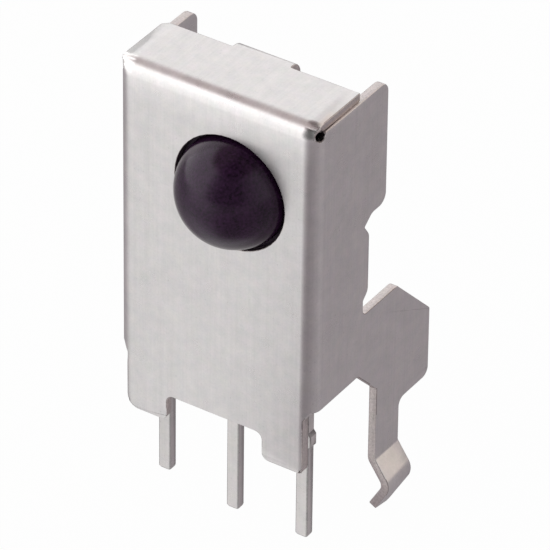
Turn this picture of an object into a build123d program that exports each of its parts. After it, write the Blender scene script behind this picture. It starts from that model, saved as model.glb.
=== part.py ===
"""Infrared receiver: a moulded three-lead receiver with a domed lens, in a folded tin-plated shield.

Millimetres, +Z up from the circuit board. The origin is the middle lead's centre at the board's
face, the lens looks along -Y and the locking arm of the shield stands on the +X side.
"""
from build123d import *
from math import cos, radians, sin
import os

# ---- Leads ----
LEAD_PITCH = 2.54              # spacing of the three leads
LEAD_WIDTH = 0.43              # across a lead, along the row
LEAD_THICKNESS = 0.34          # lead frame strip
LEAD_SETBACK = 1.22            # shield's front face to the middle of the leads
LEAD_REACH = 3.33              # board face to the tip of the middle and right leads
OUTPUT_LEAD_REACH = 2.88       # board face to the tip of the left lead
LEAD_TIP_CHAMFER = 0.09        # bevel round the tips
TIE_STUB = 0.09                # what the cut tie bar leaves proud of each side of a lead
TIE_STUB_BOTTOM = 0.1          # board face to the stub
TIE_STUB_HEIGHT = 0.62         # stub, with its slanted ends
TIE_STUB_SLANT = 0.12          # height of one slanted end

# ---- Shield: sheet and outside ----
SHEET = 0.28                   # strip thickness
FRONT_BEND_INSIDE = 0.22       # inside radius of the folds round the front panel
FLANGE_BEND_INSIDE = 0.07      # inside radius of the rear flanges' folds
CASE_WIDTH = 7.12              # outside of one side wall to the outside of the other
CASE_DEPTH = 2.99              # front face to the back face of the tongue
CASE_HEIGHT = 12.65            # board face to the top face
FOLD_GAP = 0.01                # clearance between the top plate and the walls under it

# ---- Shield: front panel ----
SHOULDER_HEIGHT = 0.95         # board face to the panel's edge between the feet
SLOT_HALF_WIDTH = 1.74         # middle to the inner side of a foot
FOOT_INSET = 0.35              # outside of a wall to the outer side of a foot
FOOT_INNER_RADIUS = 0.25       # lower inner corner of each foot, and the slot's corners
LEFT_FOOT_RADIUS = 0.42        # lower outer corner of the left foot
RIGHT_FOOT_RADIUS = 0.15       # lower outer corner of the right foot
WALL_CLEARANCE = 2.28          # board face to the lower edge of the side walls
FOLD_RUNOUT = 0.3              # how far a side fold tapers below the wall's lower edge
WINDOW_RADIUS = 1.95           # round window for the lens
CORNER_HOLE_RADIUS = 0.165     # round relief hole where the folds meet at each top corner
CORNER_HOLE_TURN = 25          # degrees that the hole faces forwards from straight sideways
CORNER_HOLE_RISE = 17          # degrees that the hole faces upwards

# ---- Shield: side walls ----
EAR_REACH = 0.92               # ear's rear edge behind the back face
EAR_BOTTOM = 8.0               # board face to the ear's lower edge
EAR_TOP_RADIUS = 0.4           # ear's upper corner
EAR_BOTTOM_RADIUS = 0.36       # ear's lower corner
NOTCH_SLANT = 0.4              # slanted run from the ear's lower edge into the relief notch
NOTCH_RADIUS = 0.3             # where the ear's lower edge turns into that run
NOTCH_INSET = 0.24             # tongue's back face to a wall's rear edge in the notches
FLANGE_INSET = 0.1             # tongue's back face to where a wall turns into its flange
FLANGE_BOTTOM = 5.45           # board face to the rear flange's lower edge
FLANGE_HEIGHT = 1.55           # rear flange, at its back
FLANGE_UPPER_TAPER = 0.69      # how much wider the flange is at the wall, at its upper end
FLANGE_LOWER_TAPER = 0.45      # the same at its lower end
FLANGE_LENGTH = 0.6            # flat of the flange, to its free edge
FLANGE_TURN = 112              # degrees that the flange turns in from its wall
FLANGE_CORNER_RADIUS = 0.15    # free corners of the flanges
WALL_CORNER_RADIUS = 0.2       # lower rear corner of the left wall

# ---- Shield: locking arm and snap leg ----
ARM_TOP = 4.45                 # board face to the arm's upper edge
ARM_REACH = 3.62               # arm's rear edge behind the back face
ARM_CHAMFER = 1.94             # cut-off upper rear corner of the arm
ARM_TOP_RADIUS = 0.25          # upper end of that cut
ARM_REAR_RADIUS = 0.15         # rear end of that cut
ARM_HEEL_RADIUS = 0.3          # arm's lower rear corner, which sits on the board
ARM_ROOT_RADIUS = 0.2          # inner corner between the wall and the arm's upper edge
LEG_SETBACK = 3.63             # shield's front face to the leg's front edge
LEG_WIDTH = 1.32               # leg, front edge to rear edge
LEG_GUSSET = 1.09              # slanted run from the wall's lower edge to the leg
LEG_ROOT_RADIUS = 0.28         # inner corner between the arm's foot and the leg
LEG_STRAIGHT = 1.47            # board face to the start of the kink
KICK_BEND_INSIDE = 0.14        # inside radius of the fold outwards
KNEE_BEND_INSIDE = 0.3         # inside radius of the fold back in
LEG_KICK = 34                  # degrees outwards, below the first fold
LEG_RETURN = 30                # degrees inwards, below the second fold
LEG_KICK_LENGTH = 0.68         # flat between the two folds
TIP_FRONT_LENGTH = 0.76        # flat below the second fold, at the front edge
TIP_REAR_LENGTH = 1.52         # the same at the rear edge
TIP_RADIUS = 0.14              # corners of the leg's tip

# ---- Shield: top plate and rear tongue ----
PLATE_SIDE_INSET = 0.07        # top plate's side edge inside the wall's outside
PLATE_DEPTH = 2.45             # front face to the plate's rear edge
PLATE_CHAMFER = 0.18           # plate's left rear corner
TONGUE_HALF_WIDTH = 1.04       # middle to either side of the tongue
TONGUE_BEND_INSIDE = 0.17      # inside radius of the tongue's fold
TONGUE_ROOT_RADIUS = 0.05      # inner corners between the plate and the tongue
TONGUE_BOTTOM = 9.0            # board face to the tongue's lower edge
TONGUE_CORNER_RADIUS = 0.3     # tongue's lower corners

# ---- Lens and moulded body ----
LENS_X = 0.505                 # lens axis, to the right of the middle lead
LENS_HEIGHT = 9.31             # board face to the lens axis
LENS_RADIUS = 1.845            # half-round dome, centred on the body's front face
BODY_FACE_GAP = 0.03           # clearance in front of the body and behind it
BODY_SIDE_GAP = 0.1            # clearance at each side, and under the top plate
BODY_BOTTOM = 3.9              # board face to the body's lower face
BODY_CORNER_RADIUS = 0.3       # corners of the body's outline
BODY_DRAFT = 5                 # degrees that the mould halves taper away from the leads
EJECTOR_RADIUS = 0.6           # round ejector-pin mark in the body's back
EJECTOR_DEPTH = 0.06           # depth of that mark
EJECTOR_HEIGHT = 6.4           # board face to the middle of that mark

# ---- Lead frame inside the body ----
PADDLE_HALF_WIDTH = 1.4        # chip paddle, lens axis to its side
PADDLE_ABOVE = 1.1             # lens axis to the paddle's upper edge
PADDLE_BELOW = 2.9             # lens axis to the paddle's lower edge
PADDLE_CORNER_RADIUS = 0.15    # paddle and bond pads
BOND_PAD_BOTTOM = 0.7          # body's lower face to the outer leads' bond pads
BOND_PAD_HEIGHT = 1.15         # bond pads
BOND_PAD_INWARD = 1.0          # outer lead's middle to its pad's inner edge
BOND_PAD_OUTWARD = 0.36        # outer lead's middle to its pad's outer edge
LOCK_HOLE_RADIUS = 0.16        # hole in each bond pad that the epoxy grips

# ---- Chips and bond wires ----
PHOTODIODE_SIZE = 1.5          # square photodiode
AMPLIFIER_WIDTH = 1.3          # amplifier chip
AMPLIFIER_HEIGHT = 1.0
CHIP_THICKNESS = 0.2
ADHESIVE_THICKNESS = 0.03      # die-attach layer under each chip
ADHESIVE_FILLET = 0.05         # die-attach layer proud of the chip's sides
CHIP_SPACING = 1.75            # middle of the photodiode to the middle of the amplifier
PAD_INSET = 0.12               # chip's edge to the middle of a bond pad on it
WIRE_DIAMETER = 0.03           # gold bond wire
WIRE_LOOP = 0.15               # loop height over its start
WIRE_NECK = 0.35               # share of the span where the loop starts to fall
WIRE_BEND_RADIUS = 0.03        # bends of the loop
BALL_RADIUS = 0.045            # ball and stitch at the wire's ends
BALL_HEIGHT = 0.02
WIRE_SIDES = 8                 # flats round a wire

# ---- Worked out from the sizes above ----
FRONT_BEND_OUTSIDE = SHEET + FRONT_BEND_INSIDE
FLANGE_BEND_OUTSIDE = SHEET + FLANGE_BEND_INSIDE
FRONT = -LEAD_SETBACK
FRONT_INSIDE = FRONT + SHEET
BACK = FRONT + CASE_DEPTH
BACK_INSIDE = BACK - SHEET
HALF_WIDTH = CASE_WIDTH / 2
SIDE_INSIDE = HALF_WIDTH - SHEET
TOP_INSIDE = CASE_HEIGHT - SHEET
WALL_TOP = TOP_INSIDE - FOLD_GAP
PANEL_HALF_WIDTH = HALF_WIDTH - FRONT_BEND_OUTSIDE    # where the front panel turns into a wall
PANEL_TOP = CASE_HEIGHT - FRONT_BEND_OUTSIDE          # where it turns into the top plate
WALL_FRONT = FRONT + FRONT_BEND_OUTSIDE               # where the walls and the plate turn flat
FOOT_HALF_WIDTH = HALF_WIDTH - FOOT_INSET
RUNOUT_HALF_WIDTH = (FOOT_HALF_WIDTH + HALF_WIDTH) / 2
WALL_BACK = BACK - NOTCH_INSET
FLANGE_FOLD = BACK - FLANGE_INSET
FLANGE_BACK = FLANGE_FOLD + FLANGE_BEND_OUTSIDE
FLANGE_TOP = FLANGE_BOTTOM + FLANGE_HEIGHT
NOTCH_TOP = FLANGE_TOP + FLANGE_UPPER_TAPER
NOTCH_BOTTOM = FLANGE_BOTTOM - FLANGE_LOWER_TAPER
EAR_BACK = BACK + EAR_REACH
ARM_BACK = BACK + ARM_REACH
LEG_FRONT = FRONT + LEG_SETBACK
LEG_BACK = LEG_FRONT + LEG_WIDTH
KNEE_BEND_OUTSIDE = KNEE_BEND_INSIDE + SHEET
PLATE_BACK = FRONT + PLATE_DEPTH
PLATE_HALF_WIDTH = HALF_WIDTH - PLATE_SIDE_INSET
TONGUE_BEND_OUTSIDE = TONGUE_BEND_INSIDE + SHEET
TONGUE_ROOT = BACK - TONGUE_BEND_OUTSIDE              # where the tongue's fold starts
BODY_FRONT = FRONT_INSIDE + BODY_FACE_GAP
BODY_BACK = BACK_INSIDE - BODY_FACE_GAP
BODY_TOP = TOP_INSIDE - BODY_SIDE_GAP
BODY_HALF_WIDTH = SIDE_INSIDE - BODY_SIDE_GAP
LEAD_FACE = -LEAD_THICKNESS / 2                       # front face of the lead frame
CHIP_BACK = LEAD_FACE - ADHESIVE_THICKNESS
CHIP_FACE = CHIP_BACK - CHIP_THICKNESS
AMPLIFIER_Z = LENS_HEIGHT - CHIP_SPACING
MARGIN = 1.0                                          # how far a cutting tool stands clear


def outline(*corners):
    """Flat face from (x, y, radius) corners in order; a radius of 0 leaves a corner sharp."""
    points = [(x, y) for x, y, _ in corners]
    return make_face(FilletPolyline(*points, radius=[r for _, _, r in corners], close=True))


def mirrored(corners):
    """The same corners reflected in the middle plane, in reverse order."""
    return [(-x, y, r) for x, y, r in reversed(corners)]


def upright_plate(face, front, back):
    """Plate from an (X, Z) outline, between two depths along Y."""
    return Pos(0, front, 0) * extrude(Plane.XZ * face, amount=back - front, dir=(0, 1, 0))


def side_plate(face, left, right):
    """Plate from a (Y, Z) outline, between two places along X."""
    return Pos(left, 0, 0) * extrude(Plane.YZ * face, amount=right - left)


def level_plate(face, bottom, top):
    """Plate from an (X, Y) outline, between two heights."""
    return Pos(0, 0, bottom) * extrude(face, amount=top - bottom)


def fold(plane, inside, start, turn, length):
    """Folded strip round the plane's origin, from one angle through a turn, along its normal."""
    inner = CenterArc((0, 0), inside, start, turn)
    outer = CenterArc((0, 0), inside + SHEET, start, turn)
    ends = [Line(inner @ 0, outer @ 0), Line(inner @ 1, outer @ 1)]
    return extrude(plane * make_face([inner, outer, *ends]), amount=length)


def level_plane(x, y, z):
    """Plane facing up, its own x along X."""
    return Plane(origin=(x, y, z), x_dir=(1, 0, 0), z_dir=(0, 0, 1))


def side_plane(x, y, z):
    """Plane facing +X, its own x along Y and its own y along Z."""
    return Plane(origin=(x, y, z), x_dir=(0, 1, 0), z_dir=(1, 0, 0))


def front_plane(x, y, z):
    """Plane facing -Y, its own x along X and its own y along Z."""
    return Plane(origin=(x, y, z), x_dir=(1, 0, 0), z_dir=(0, -1, 0))


# ---- Shield ----

def bent_block(inset, radius):
    """Block whose upright front edges and front top edge are rounded, so far inside the shield."""
    corners = outline(
        (inset - HALF_WIDTH, FRONT + inset, 0), (HALF_WIDTH - inset, FRONT + inset, 0),
        (HALF_WIDTH - inset, BACK, 0), (inset - HALF_WIDTH, BACK, 0))
    block = level_plate(corners, -MARGIN, CASE_HEIGHT - inset)
    upright = block.edges().filter_by(Axis.Z).group_by(Axis.Y)[0]
    top = block.edges().filter_by(Axis.X).group_by(Axis.Y)[0].sort_by(Axis.Z)[-1]
    return fillet([*upright, top], radius)


def front_edge():
    """Outline of the front as stamped: two feet, the slot between them, and the lens window."""
    right = [
        (SLOT_HALF_WIDTH, SHOULDER_HEIGHT, FOOT_INNER_RADIUS),
        (SLOT_HALF_WIDTH, 0, FOOT_INNER_RADIUS),
        (FOOT_HALF_WIDTH, 0, RIGHT_FOOT_RADIUS),
        (FOOT_HALF_WIDTH, WALL_CLEARANCE - FOLD_RUNOUT, 0),
        (RUNOUT_HALF_WIDTH, WALL_CLEARANCE, 0),
        (HALF_WIDTH + MARGIN, WALL_CLEARANCE, 0),
        (HALF_WIDTH + MARGIN, CASE_HEIGHT + MARGIN, 0),
    ]
    left = mirrored(right)
    left[4] = (-FOOT_HALF_WIDTH, 0, LEFT_FOOT_RADIUS)
    window = Pos(LENS_X, LENS_HEIGHT) * Circle(WINDOW_RADIUS)
    return outline(*right, *left) - window


def corner_slit(side):
    """Gap between the plate and a wall, from the corner hole back, with the plate's side edge."""
    inner = side * SIDE_INSIDE
    edge = side * PLATE_HALF_WIDTH
    outer = side * (HALF_WIDTH + MARGIN)
    above = CASE_HEIGHT + MARGIN
    gap = outline((inner, WALL_TOP, 0), (outer, WALL_TOP, 0), (outer, above, 0), (edge, above, 0),
                  (edge, TOP_INSIDE, 0), (inner, TOP_INSIDE, 0))
    return upright_plate(gap, hole_axis(side).origin.Y, WALL_FRONT + MARGIN)


def hole_axis(side):
    """Plane across the relief hole of a top corner, on the sheet's outside."""
    turn = radians(CORNER_HOLE_TURN)
    rise = radians(CORNER_HOLE_RISE)
    facing = Vector(side * cos(turn) * cos(rise), -sin(turn) * cos(rise), sin(rise))
    fold_centre = Vector(side * PANEL_HALF_WIDTH, WALL_FRONT, PANEL_TOP)
    return Plane(origin=fold_centre + facing * FRONT_BEND_OUTSIDE, z_dir=facing)


def corner_hole(side):
    """Round relief hole through the folded corner."""
    hole = Circle(CORNER_HOLE_RADIUS)
    return extrude(hole_axis(side) * hole, amount=FRONT_BEND_OUTSIDE, both=True)


def front_panel():
    """Front panel with the folds that turn it into the walls and the top plate."""
    outside = bent_block(0, FRONT_BEND_OUTSIDE)
    inside = bent_block(SHEET, FRONT_BEND_INSIDE)
    front = (outside - inside) & upright_plate(front_edge(), FRONT, WALL_FRONT + SHEET)
    for side in (-1, 1):
        front -= corner_slit(side)
    return front


def wall_upper_edge():
    """Corners from a wall's upper front corner, round the ear, to the flange's upper relief."""
    return [
        (WALL_FRONT, WALL_TOP, 0),
        (EAR_BACK, WALL_TOP, EAR_TOP_RADIUS),
        (EAR_BACK, EAR_BOTTOM, EAR_BOTTOM_RADIUS),
        (WALL_BACK + NOTCH_SLANT, EAR_BOTTOM, NOTCH_RADIUS),
        (WALL_BACK, NOTCH_TOP, 0),
        (WALL_BACK, NOTCH_BOTTOM, 0),
    ]


def left_wall():
    """Plain side wall with its ear."""
    corners = wall_upper_edge() + [
        (WALL_BACK, WALL_CLEARANCE, WALL_CORNER_RADIUS),
        (WALL_FRONT, WALL_CLEARANCE, 0),
    ]
    return side_plate(outline(*corners), -HALF_WIDTH, -SIDE_INSIDE)


def right_wall():
    """Side wall with its ear, the locking arm and the straight part of the snap leg."""
    corners = wall_upper_edge() + [
        (WALL_BACK, ARM_TOP, ARM_ROOT_RADIUS),
        (ARM_BACK - ARM_CHAMFER, ARM_TOP, ARM_TOP_RADIUS),
        (ARM_BACK, ARM_TOP - ARM_CHAMFER, ARM_REAR_RADIUS),
        (ARM_BACK, 0, ARM_HEEL_RADIUS),
        (LEG_BACK, 0, LEG_ROOT_RADIUS),
        (LEG_BACK, -LEG_STRAIGHT, 0),
        (LEG_FRONT, -LEG_STRAIGHT, 0),
        (LEG_FRONT, WALL_CLEARANCE - LEG_GUSSET, 0),
        (LEG_FRONT - LEG_GUSSET, WALL_CLEARANCE, 0),
        (WALL_FRONT, WALL_CLEARANCE, 0),
    ]
    return side_plate(outline(*corners), SIDE_INSIDE, HALF_WIDTH)


def right_flange():
    """Flange folded in behind the body, bent past square so that its free edge holds the body."""
    neck = outline((WALL_BACK, NOTCH_BOTTOM, 0), (FLANGE_FOLD, NOTCH_BOTTOM, 0),
                   (FLANGE_FOLD, NOTCH_TOP, 0), (WALL_BACK, NOTCH_TOP, 0))
    centre = level_plane(HALF_WIDTH - FLANGE_BEND_OUTSIDE, FLANGE_FOLD, NOTCH_BOTTOM)
    strip = side_plate(neck, SIDE_INSIDE, HALF_WIDTH)
    strip += fold(centre, FLANGE_BEND_INSIDE, 0, FLANGE_TURN, NOTCH_TOP - NOTCH_BOTTOM)
    ends = outline(
        (WALL_BACK, NOTCH_BOTTOM, 0), (FLANGE_BACK, FLANGE_BOTTOM, 0),
        (FLANGE_BACK, FLANGE_TOP, 0), (WALL_BACK, NOTCH_TOP, 0))
    strip &= side_plate(ends, -HALF_WIDTH, HALF_WIDTH)
    outwards = Vector(cos(radians(FLANGE_TURN)), sin(radians(FLANGE_TURN)), 0)
    along = Vector(-outwards.Y, outwards.X, 0)
    start = centre.origin + outwards * FLANGE_BEND_INSIDE - Vector(0, 0, NOTCH_BOTTOM)
    flat = outline(
        (0, FLANGE_BOTTOM, 0),
        (0, FLANGE_TOP, 0),
        (FLANGE_LENGTH, FLANGE_TOP, FLANGE_CORNER_RADIUS),
        (FLANGE_LENGTH, FLANGE_BOTTOM, FLANGE_CORNER_RADIUS),
    )
    return strip + extrude(Plane(origin=start, x_dir=along, z_dir=outwards) * flat, amount=SHEET)


def top_plate():
    """Flat of the top plate, which lies over the walls' upper edges."""
    right = [
        (PLATE_HALF_WIDTH, WALL_FRONT, 0),
        (PLATE_HALF_WIDTH, PLATE_BACK, 0),
        (TONGUE_HALF_WIDTH, PLATE_BACK, TONGUE_ROOT_RADIUS),
        (TONGUE_HALF_WIDTH, TONGUE_ROOT, 0),
    ]
    plate = level_plate(outline(*right, *mirrored(right)), TOP_INSIDE, CASE_HEIGHT)
    corner = Polygon((0, 0), (0, -PLATE_CHAMFER), (PLATE_CHAMFER, 0), align=None)
    return plate - level_plate(Pos(-PLATE_HALF_WIDTH, PLATE_BACK) * corner, TOP_INSIDE, CASE_HEIGHT)


def rear_tongue():
    """Tongue folded down behind the body from the top plate."""
    centre = side_plane(-TONGUE_HALF_WIDTH, TONGUE_ROOT, CASE_HEIGHT - TONGUE_BEND_OUTSIDE)
    strip = fold(centre, TONGUE_BEND_INSIDE, 0, 90, 2 * TONGUE_HALF_WIDTH)
    right = [
        (TONGUE_HALF_WIDTH, TONGUE_BOTTOM, TONGUE_CORNER_RADIUS),
        (TONGUE_HALF_WIDTH, CASE_HEIGHT - TONGUE_BEND_OUTSIDE, 0),
    ]
    return strip + upright_plate(outline(*right, *mirrored(right)), BACK_INSIDE, BACK)


def leg_flat(origin, lean, corners):
    """Flat of the kinked leg from its outer face inwards, leaning so many degrees from straight down."""
    down = Vector(sin(radians(lean)), 0, -cos(radians(lean)))
    plane = Plane(origin=origin, x_dir=(0, 1, 0), z_dir=Vector(0, 1, 0).cross(down))
    return extrude(plane * outline(*corners), amount=SHEET)


def snap_leg():
    """Kinked end of the leg: out, back in, and cut to a slanted tip."""
    turn = LEG_KICK + LEG_RETURN
    start = Vector(HALF_WIDTH, LEG_FRONT, -LEG_STRAIGHT)
    kick_centre = start + Vector(KICK_BEND_INSIDE, 0, 0)
    kick = fold(front_plane(kick_centre.X, LEG_BACK, kick_centre.Z),
                KICK_BEND_INSIDE, 180, LEG_KICK, LEG_WIDTH)
    kick_normal = Vector(cos(radians(LEG_KICK)), 0, sin(radians(LEG_KICK)))
    kick_down = Vector(sin(radians(LEG_KICK)), 0, -cos(radians(LEG_KICK)))
    kick_end = kick_centre - kick_normal * KICK_BEND_INSIDE
    flat = leg_flat(kick_end, LEG_KICK, [
        (0, 0, 0), (LEG_WIDTH, 0, 0), (LEG_WIDTH, LEG_KICK_LENGTH, 0), (0, LEG_KICK_LENGTH, 0),
    ])
    knee_centre = kick_end + kick_down * LEG_KICK_LENGTH - kick_normal * KNEE_BEND_OUTSIDE
    knee = fold(front_plane(knee_centre.X, LEG_BACK, knee_centre.Z),
                KNEE_BEND_INSIDE, -LEG_RETURN, turn, LEG_WIDTH)
    tip_normal = Vector(cos(radians(LEG_RETURN)), 0, -sin(radians(LEG_RETURN)))
    tip = leg_flat(knee_centre + tip_normal * KNEE_BEND_OUTSIDE, -LEG_RETURN, [
        (0, 0, 0), (LEG_WIDTH, 0, 0),
        (LEG_WIDTH, TIP_REAR_LENGTH, TIP_RADIUS), (0, TIP_FRONT_LENGTH, TIP_RADIUS),
    ])
    return kick + flat + knee + tip


def shield_case():
    """The whole shield, one folded sheet."""
    sheet = front_panel() + top_plate() + rear_tongue() + left_wall() + right_wall() + snap_leg()
    sheet += right_flange() + mirror(right_flange(), about=Plane.YZ)
    for side in (-1, 1):
        sheet -= corner_hole(side)
    return sheet


# ---- Leads ----

def lead_blade(x, reach, top):
    """Straight lead about x, from its bevelled tip to a height inside the body."""
    half = LEAD_WIDTH / 2
    stub_top = TIE_STUB_BOTTOM + TIE_STUB_HEIGHT
    right = [
        (half, -reach, 0),
        (half, TIE_STUB_BOTTOM, 0),
        (half + TIE_STUB, TIE_STUB_BOTTOM + TIE_STUB_SLANT, 0),
        (half + TIE_STUB, stub_top - TIE_STUB_SLANT, 0),
        (half, stub_top, 0),
        (half, top, 0),
    ]
    blade = upright_plate(outline(*right, *mirrored(right)), LEAD_FACE, -LEAD_FACE)
    tip = blade.faces().sort_by(Axis.Z)[0]
    return Pos(x, 0, 0) * chamfer(tip.edges(), LEAD_TIP_CHAMFER)


def outer_lead(side, reach):
    """Outer lead with its bond pad, which has a hole for the epoxy to grip."""
    middle = side * LEAD_PITCH
    bottom = BODY_BOTTOM + BOND_PAD_BOTTOM
    top = bottom + BOND_PAD_HEIGHT
    inner = middle - side * BOND_PAD_INWARD
    outer = middle + side * BOND_PAD_OUTWARD
    pad = outline(*[(x, z, PADDLE_CORNER_RADIUS)
                    for x, z in ((inner, bottom), (outer, bottom), (outer, top), (inner, top))])
    hole = Pos(middle, (bottom + top) / 2) * Circle(LOCK_HOLE_RADIUS)
    blade = lead_blade(middle, reach, bottom + PADDLE_CORNER_RADIUS)
    return blade + upright_plate(pad - hole, LEAD_FACE, -LEAD_FACE)


def ground_lead():
    """Middle lead with the paddle that carries both chips."""
    left = LENS_X - PADDLE_HALF_WIDTH
    right = LENS_X + PADDLE_HALF_WIDTH
    bottom = LENS_HEIGHT - PADDLE_BELOW
    top = LENS_HEIGHT + PADDLE_ABOVE
    paddle = outline(*[(x, z, PADDLE_CORNER_RADIUS)
                       for x, z in ((left, bottom), (right, bottom), (right, top), (left, top))])
    blade = lead_blade(0, LEAD_REACH, bottom + PADDLE_CORNER_RADIUS)
    return blade + upright_plate(paddle, LEAD_FACE, -LEAD_FACE)


# ---- Chips and bond wires ----

def block(x, z, width, height, back, thickness):
    """Rectangular block about (x, z), standing forwards from a depth."""
    return Pos(x, back - thickness / 2, z) * Box(width, thickness, height)


def chip_and_adhesive(z, width, height):
    """A chip on the paddle, and the die-attach layer under it."""
    chip = block(LENS_X, z, width, height, CHIP_BACK, CHIP_THICKNESS)
    spread = 2 * ADHESIVE_FILLET
    layer = block(LENS_X, z, width + spread, height + spread, LEAD_FACE, ADHESIVE_THICKNESS)
    return chip, layer


def bond_wire(start, end):
    """Gold wire with a ball at its start and a stitch at its end, looping forwards."""
    rise = Vector(0, -WIRE_LOOP, 0)
    begin = Vector(*start)
    finish = Vector(*end)
    neck = begin + (finish - begin) * WIRE_NECK
    neck = Vector(neck.X, begin.Y - WIRE_LOOP, neck.Z)
    path = FilletPolyline(begin, begin + rise, neck, finish, radius=WIRE_BEND_RADIUS)
    section = front_plane(*start) * RegularPolygon(WIRE_DIAMETER / 2, WIRE_SIDES)
    wire = sweep(section, path=path)
    ball = extrude(front_plane(*start) * RegularPolygon(BALL_RADIUS, WIRE_SIDES), amount=BALL_HEIGHT)
    stitch = extrude(front_plane(*end) * RegularPolygon(BALL_RADIUS, WIRE_SIDES), amount=BALL_HEIGHT)
    return wire + ball + stitch


def bond_wires():
    """The five bond wires by name, each from a chip's pad to where it lands."""
    pad_x = AMPLIFIER_WIDTH / 2 - PAD_INSET
    upper_pad = AMPLIFIER_Z + AMPLIFIER_HEIGHT / 2 - PAD_INSET
    lower_pad = AMPLIFIER_Z - AMPLIFIER_HEIGHT / 2 + PAD_INSET
    photodiode_pad = LENS_HEIGHT - PHOTODIODE_SIZE / 2 + PAD_INSET
    bond_pad_z = BODY_BOTTOM + BOND_PAD_BOTTOM + BOND_PAD_HEIGHT * 3 / 4
    bond_pad_x = LEAD_PITCH - BOND_PAD_INWARD * 2 / 3
    paddle_z = LENS_HEIGHT - PADDLE_BELOW + PADDLE_CORNER_RADIUS * 2
    ends = {
        "photodiode_signal_wire": ((LENS_X - pad_x, CHIP_FACE, photodiode_pad),
                                   (LENS_X - pad_x, CHIP_FACE, upper_pad)),
        "photodiode_bias_wire": ((LENS_X + pad_x, CHIP_FACE, photodiode_pad),
                                 (LENS_X + pad_x, CHIP_FACE, upper_pad)),
        "output_wire": ((LENS_X - pad_x, CHIP_FACE, lower_pad),
                        (-bond_pad_x, LEAD_FACE, bond_pad_z)),
        "ground_wire": ((LENS_X, CHIP_FACE, lower_pad), (LENS_X, LEAD_FACE, paddle_z)),
        "supply_wire": ((LENS_X + pad_x, CHIP_FACE, lower_pad),
                        (bond_pad_x, LEAD_FACE, bond_pad_z)),
    }
    return {name: bond_wire(start, end) for name, (start, end) in ends.items()}


# ---- Moulded body ----

def mould_half(depth, side):
    """One half of the moulded block, tapering away from the lead frame's middle plane."""
    height = BODY_TOP - BODY_BOTTOM
    face = RectangleRounded(2 * BODY_HALF_WIDTH, height, BODY_CORNER_RADIUS)
    plane = Plane(origin=(0, 0, BODY_BOTTOM + height / 2), x_dir=(1, 0, 0), z_dir=(0, side, 0))
    return extrude(plane * face, amount=depth, taper=BODY_DRAFT)


def lens_dome():
    """Half-round lens that stands on the body's front face and passes through the window."""
    dome = Pos(LENS_X, BODY_FRONT, LENS_HEIGHT) * Sphere(LENS_RADIUS)
    seat = Pos(LENS_X, BODY_FRONT - LENS_RADIUS + SHEET, LENS_HEIGHT) * Box(
        2 * LENS_RADIUS, 2 * LENS_RADIUS, 2 * LENS_RADIUS)
    return dome & seat


def receiver_body(inner_pieces):
    """Epoxy block and lens, moulded round the lead frame, the chips and the wires."""
    block_shape = mould_half(-BODY_FRONT, -1) + mould_half(BODY_BACK, 1)
    mark = extrude(front_plane(0, BODY_BACK, EJECTOR_HEIGHT) * Circle(EJECTOR_RADIUS),
                   amount=EJECTOR_DEPTH)
    body = block_shape + lens_dome() - mark
    for piece in inner_pieces:
        body -= piece
    return body


def build_nodes():
    """Every piece by name."""
    nodes = {
        "lead_output": outer_lead(-1, OUTPUT_LEAD_REACH),
        "lead_ground": ground_lead(),
        "lead_supply": outer_lead(1, LEAD_REACH),
    }
    photodiode, photodiode_layer = chip_and_adhesive(LENS_HEIGHT, PHOTODIODE_SIZE, PHOTODIODE_SIZE)
    amplifier, amplifier_layer = chip_and_adhesive(AMPLIFIER_Z, AMPLIFIER_WIDTH, AMPLIFIER_HEIGHT)
    nodes["photodiode_chip"] = photodiode
    nodes["photodiode_adhesive"] = photodiode_layer
    nodes["amplifier_chip"] = amplifier
    nodes["amplifier_adhesive"] = amplifier_layer
    carriers = list(nodes.values())
    for name, wire in bond_wires().items():
        for carrier in carriers:
            wire -= carrier
        nodes[name] = wire
    nodes["receiver_body"] = receiver_body(nodes.values())
    nodes["shield_case"] = shield_case()
    return nodes


os.makedirs("parts", exist_ok=True)
for node, shape in build_nodes().items():
    export_step(shape, f"parts/{node}.step")
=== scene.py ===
"""Finishes for the infrared receiver: tin-plated shield, dark lens, plated leads, small studio.

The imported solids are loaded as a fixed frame. Each operator below dresses one group of pieces.
"""

from math import atan2, cos, degrees, pi, radians, sin

import bmesh
import bpy
from bpy.props import FloatProperty, FloatVectorProperty, PointerProperty
from bpy.types import Operator, Panel, PropertyGroup
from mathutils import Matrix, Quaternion, Vector
from mathutils.bvhtree import BVHTree


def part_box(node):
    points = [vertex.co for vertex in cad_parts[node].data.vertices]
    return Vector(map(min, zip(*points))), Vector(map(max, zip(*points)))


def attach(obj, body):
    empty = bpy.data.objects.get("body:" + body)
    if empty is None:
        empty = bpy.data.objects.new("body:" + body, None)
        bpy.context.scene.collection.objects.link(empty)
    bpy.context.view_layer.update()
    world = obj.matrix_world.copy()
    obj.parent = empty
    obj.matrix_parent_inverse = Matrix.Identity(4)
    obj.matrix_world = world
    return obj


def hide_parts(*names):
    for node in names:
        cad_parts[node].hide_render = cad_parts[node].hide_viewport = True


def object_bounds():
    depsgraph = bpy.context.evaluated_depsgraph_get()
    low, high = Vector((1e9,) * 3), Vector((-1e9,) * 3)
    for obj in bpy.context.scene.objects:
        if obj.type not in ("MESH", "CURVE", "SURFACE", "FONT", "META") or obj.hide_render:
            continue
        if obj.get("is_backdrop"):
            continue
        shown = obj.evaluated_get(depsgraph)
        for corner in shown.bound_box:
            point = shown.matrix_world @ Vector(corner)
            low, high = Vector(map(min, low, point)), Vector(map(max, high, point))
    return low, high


bl_info = {
    "name": "Infrared Receiver Finishes",
    "version": (1, 0, 0),
    "blender": (4, 5, 0),
    "location": "View3D > Sidebar > Receiver",
    "description": "Dresses a shielded infrared receiver and sets up its studio",
    "category": "Object",
}

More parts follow.
